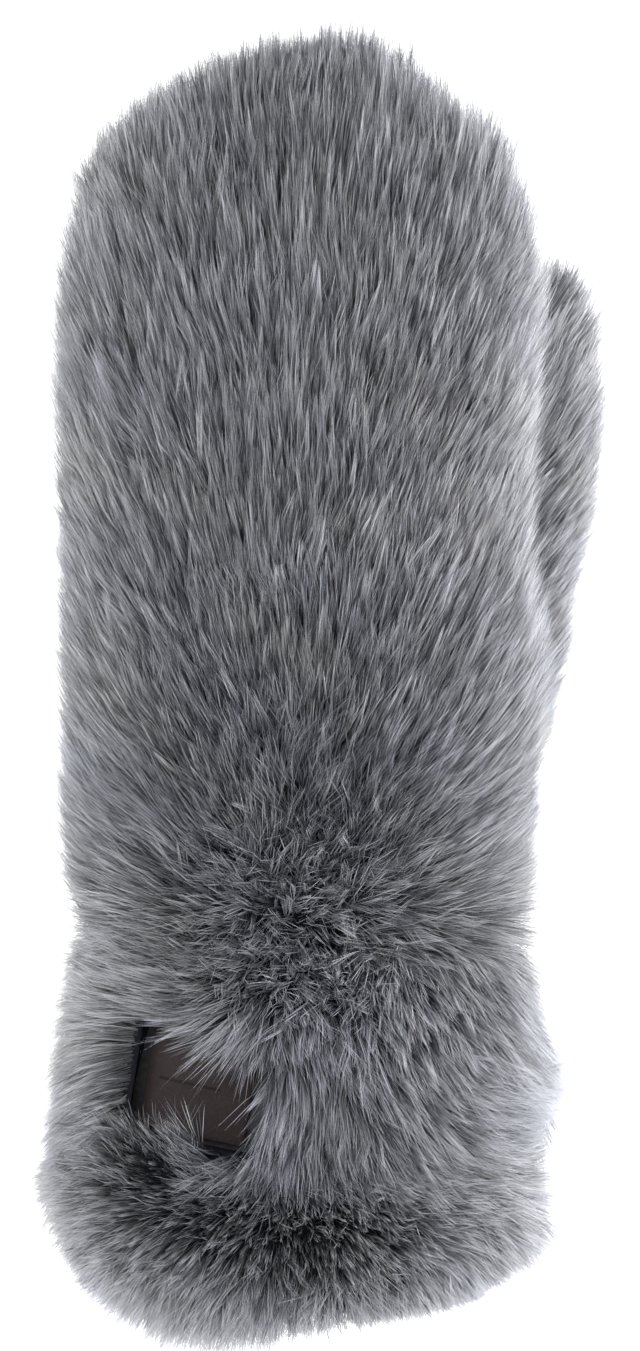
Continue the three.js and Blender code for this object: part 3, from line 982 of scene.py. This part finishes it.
class MITTEN_OT_hand_fur(FurOperator, bpy.types.Operator):
    """Grow the fur of the hand, combed up from the wrist"""

    bl_idname = "mitten.hand_fur"
    bl_label = "Hand fur"

    def execute(self, context):
        self.underfur(context, "hand_underfur", HAND_ROWS, ["hand_fur"])
        coat = self.coat(context, HAND_ROWS, nap, SEED + 10)
        coat.keep(~inside(THUMB_ROWS, coat.roots, -THUMB_SINK * MM))
        above = coat.roots[:, 2] - HAND_ROWS[0]["z"] * MM
        coat.roots[:, 2] -= SEAM_OVERLAP * MM * np.clip(1 - above / (SEAM_FADE * MM), 0, 1)
        coat.grow()
        back, low = coat.roots[:, 1] < 0, coat.roots[:, 2] < HAND_SPLIT * MM
        parts = {
            "hand_fur_back_low": back & low,
            "hand_fur_back_high": back & ~low,
            "hand_fur_palm_low": ~back & low,
            "hand_fur_palm_high": ~back & ~low,
        }
        coat.pieces(parts, ["hand_fur"], self.fur(context))
        return {"FINISHED"}


class MITTEN_OT_thumb_fur(FurOperator, bpy.types.Operator):
    """Grow the fur of the thumb"""

    bl_idname = "mitten.thumb_fur"
    bl_label = "Thumb fur"

    def execute(self, context):
        self.underfur(context, "thumb_underfur", THUMB_ROWS, ["thumb_fur"])
        coat = self.coat(context, THUMB_ROWS, nap, SEED + 20)
        coat.keep(~inside(HAND_ROWS, coat.roots, THUMB_SINK * MM))
        coat.grow()
        coat.pieces({"thumb_fur_hairs": np.ones(len(coat.roots), bool)}, ["thumb_fur"], self.fur(context))
        return {"FINISHED"}


class MITTEN_OT_cuff_fur(FurOperator, bpy.types.Operator):
    """Grow the ruffled fur of the cuff, with a gap for the label"""

    bl_idname = "mitten.cuff_fur"
    bl_label = "Cuff fur"

    def execute(self, context):
        under = self.underfur(context, "cuff_underfur", CUFF_ROWS, ["cuff_fur"], hem=True)
        clear_selection()
        wide = LABEL["width"] + LABEL_CLEAR["left"] + LABEL_CLEAR["right"]
        high = LABEL["height"] + LABEL_CLEAR["below"] + LABEL_CLEAR["above"]
        aside = (LABEL_CLEAR["right"] - LABEL_CLEAR["left"]) / 2
        raised = (LABEL_CLEAR["above"] - LABEL_CLEAR["below"]) / 2
        middle = ((LABEL["x"] + aside) * MM, PIT_Y * MM, (LABEL["z"] + raised) * MM)
        bpy.ops.mesh.primitive_cube_add(size=1.0, location=middle)
        pit = bpy.context.object
        pit.scale = (wide * MM, PIT_DEEP * MM, high * MM)
        pit.rotation_euler = (0, math.radians(-LABEL["tilt"]), 0)
        place_in_mesh(pit)
        apply(under, "BOOLEAN", object=pit, operation="DIFFERENCE", solver="EXACT")
        bpy.data.objects.remove(pit)
        habit = dict(rise=(57, 22), mess=11.0, sway=14.0, ruffle=0.85)
        coat = self.coat(context, CUFF_ROWS, cuff_nap, SEED + 30, hem=True, **habit)
        coat.keep(~on_label(coat.roots))
        coat.grow()
        front = coat.roots[:, 1] < 0
        coat.pieces({"cuff_fur_front": front, "cuff_fur_back": ~front}, ["cuff_fur"], self.fur(context))
        return {"FINISHED"}


def on_label(points):
    """Which points lie in the bare place round the label, seen from the front."""
    x, z = points[:, 0] / MM - LABEL["x"], points[:, 2] / MM - LABEL["z"]
    tilt = math.radians(LABEL["tilt"])
    along, up = x * math.cos(tilt) + z * math.sin(tilt), z * math.cos(tilt) - x * math.sin(tilt)
    wide, high = LABEL["width"] / 2, LABEL["height"] / 2
    near = (along > -wide - LABEL_CLEAR["left"]) & (along < wide + LABEL_CLEAR["right"])
    near &= (up > -high - LABEL_CLEAR["below"]) & (up < high + LABEL_CLEAR["above"])
    return near & (points[:, 1] < 0)


class MITTEN_OT_label(bpy.types.Operator):
    """Build the suede label, bent round the cuff"""

    bl_idname = "mitten.label"
    bl_label = "Label"

    def execute(self, context):
        sizes, colours = context.scene.mitten_sizes, context.scene.mitten_colours
        cuff = skin("base", CUFF_ROWS, sizes.sides, sizes.rings)
        clear_selection()
        bpy.ops.mesh.primitive_grid_add(**LABEL_GRID, size=1.0)
        label = bpy.context.object
        label.name = label.data.name = "label_suede"
        label.scale = (LABEL["width"] * MM, LABEL["height"] * MM, 1.0)
        label.rotation_euler = (math.radians(90), math.radians(-LABEL["tilt"]), 0)
        label.location = (LABEL["x"] * MM, LABEL_FRONT * MM, LABEL["z"] * MM)
        place_in_mesh(label)
        apply(label, "SHRINKWRAP", target=cuff, wrap_method="PROJECT", use_project_y=True,
              use_negative_direction=False, use_positive_direction=True, offset=LABEL_LIFT * MM)
        apply(label, "SOLIDIFY", thickness=LABEL["thickness"] * MM, offset=1.0)
        apply(label, "BEVEL", width=LABEL["bevel"] * MM, segments=3, limit_method="ANGLE",
              angle_limit=math.radians(40))
        bpy.data.objects.remove(cuff)
        finished(label, ["label"], material("suede", suede_material, colours))
        return {"FINISHED"}


class MITTEN_OT_stage(bpy.types.Operator):
    """Set the floor, the lights, the white surroundings and the camera"""

    bl_idname = "mitten.stage"
    bl_label = "Stage"

    def execute(self, context):
        scene = context.scene
        clear_selection()
        bpy.ops.mesh.primitive_plane_add(size=FLOOR_SIZE, location=(0, 0, FLOOR_Z))
        floor = bpy.context.object
        floor.name = "floor"
        place_in_mesh(floor)
        floor.data.materials.append(material("floor", floor_material))
        world = bpy.data.worlds.new("studio")
        world.use_nodes = True
        world.node_tree.nodes["Background"].inputs[0].default_value = grey(1.0)
        world.node_tree.nodes["Background"].inputs[1].default_value = WORLD_LIGHT
        scene.world = world
        scene.view_settings.view_transform = "Standard"
        middle = Vector(AIM)
        for light in LIGHTS:
            clear_selection()
            spot = Vector(light["place"])
            bpy.ops.object.light_add(type="AREA", location=spot)
            lamp = bpy.context.object
            lamp.name = light["name"]
            lamp.rotation_euler = (middle - spot).to_track_quat("-Z", "Y").to_euler()
            lamp.data.energy, lamp.data.size = light["power"], light["size"]
        bpy.ops.object.light_add(type="SUN", location=(0, 0, 1), rotation=SKY["turn"])
        sky = bpy.context.object
        sky.name = "sky_light"
        sky.data.energy, sky.data.angle = SKY["power"], SKY["angle"]
        data = bpy.data.cameras.new("camera")
        data.lens, data.sensor_width, data.sensor_fit = CAMERA["lens"], CAMERA["sensor"], "AUTO"
        camera = bpy.data.objects.new("camera", data)
        camera.location = CAMERA["place"]
        camera.rotation_euler = (math.radians(90), 0, 0)
        scene.collection.objects.link(camera)
        scene.camera = camera
        return {"FINISHED"}


class MITTEN_PT_panel(bpy.types.Panel):
    """The mitten's settings and building steps"""

    bl_idname = "MITTEN_PT_panel"
    bl_label = "Fur mitten"
    bl_space_type = "VIEW_3D"
    bl_region_type = "UI"
    bl_category = "Mitten"

    def draw(self, context):
        for group in (context.scene.mitten_sizes, context.scene.mitten_fur, context.scene.mitten_colours):
            for name in group.__annotations__:
                self.layout.prop(group, name)
        for operator in OPERATORS:
            self.layout.operator(operator.bl_idname)


GROUPS = {"mitten_sizes": MittenSizes, "mitten_fur": MittenFur, "mitten_colours": MittenColours}
OPERATORS = (MITTEN_OT_stage, MITTEN_OT_walls, MITTEN_OT_label, MITTEN_OT_hand_fur, MITTEN_OT_thumb_fur,
             MITTEN_OT_cuff_fur)
CLASSES = (*GROUPS.values(), *OPERATORS, MITTEN_PT_panel)


def register():
    for cls in CLASSES:
        bpy.utils.register_class(cls)
    for name, group in GROUPS.items():
        setattr(bpy.types.Scene, name, bpy.props.PointerProperty(type=group))


def unregister():
    for name in GROUPS:
        delattr(bpy.types.Scene, name)
    for cls in reversed(CLASSES):
        bpy.utils.unregister_class(cls)


def main():
    register()
    bpy.ops.mitten.stage()
    bpy.ops.mitten.walls()
    bpy.ops.mitten.label()
    bpy.ops.mitten.hand_fur()
    bpy.ops.mitten.thumb_fur()
    bpy.ops.mitten.cuff_fur()


if __name__ == "__main__":
    main()
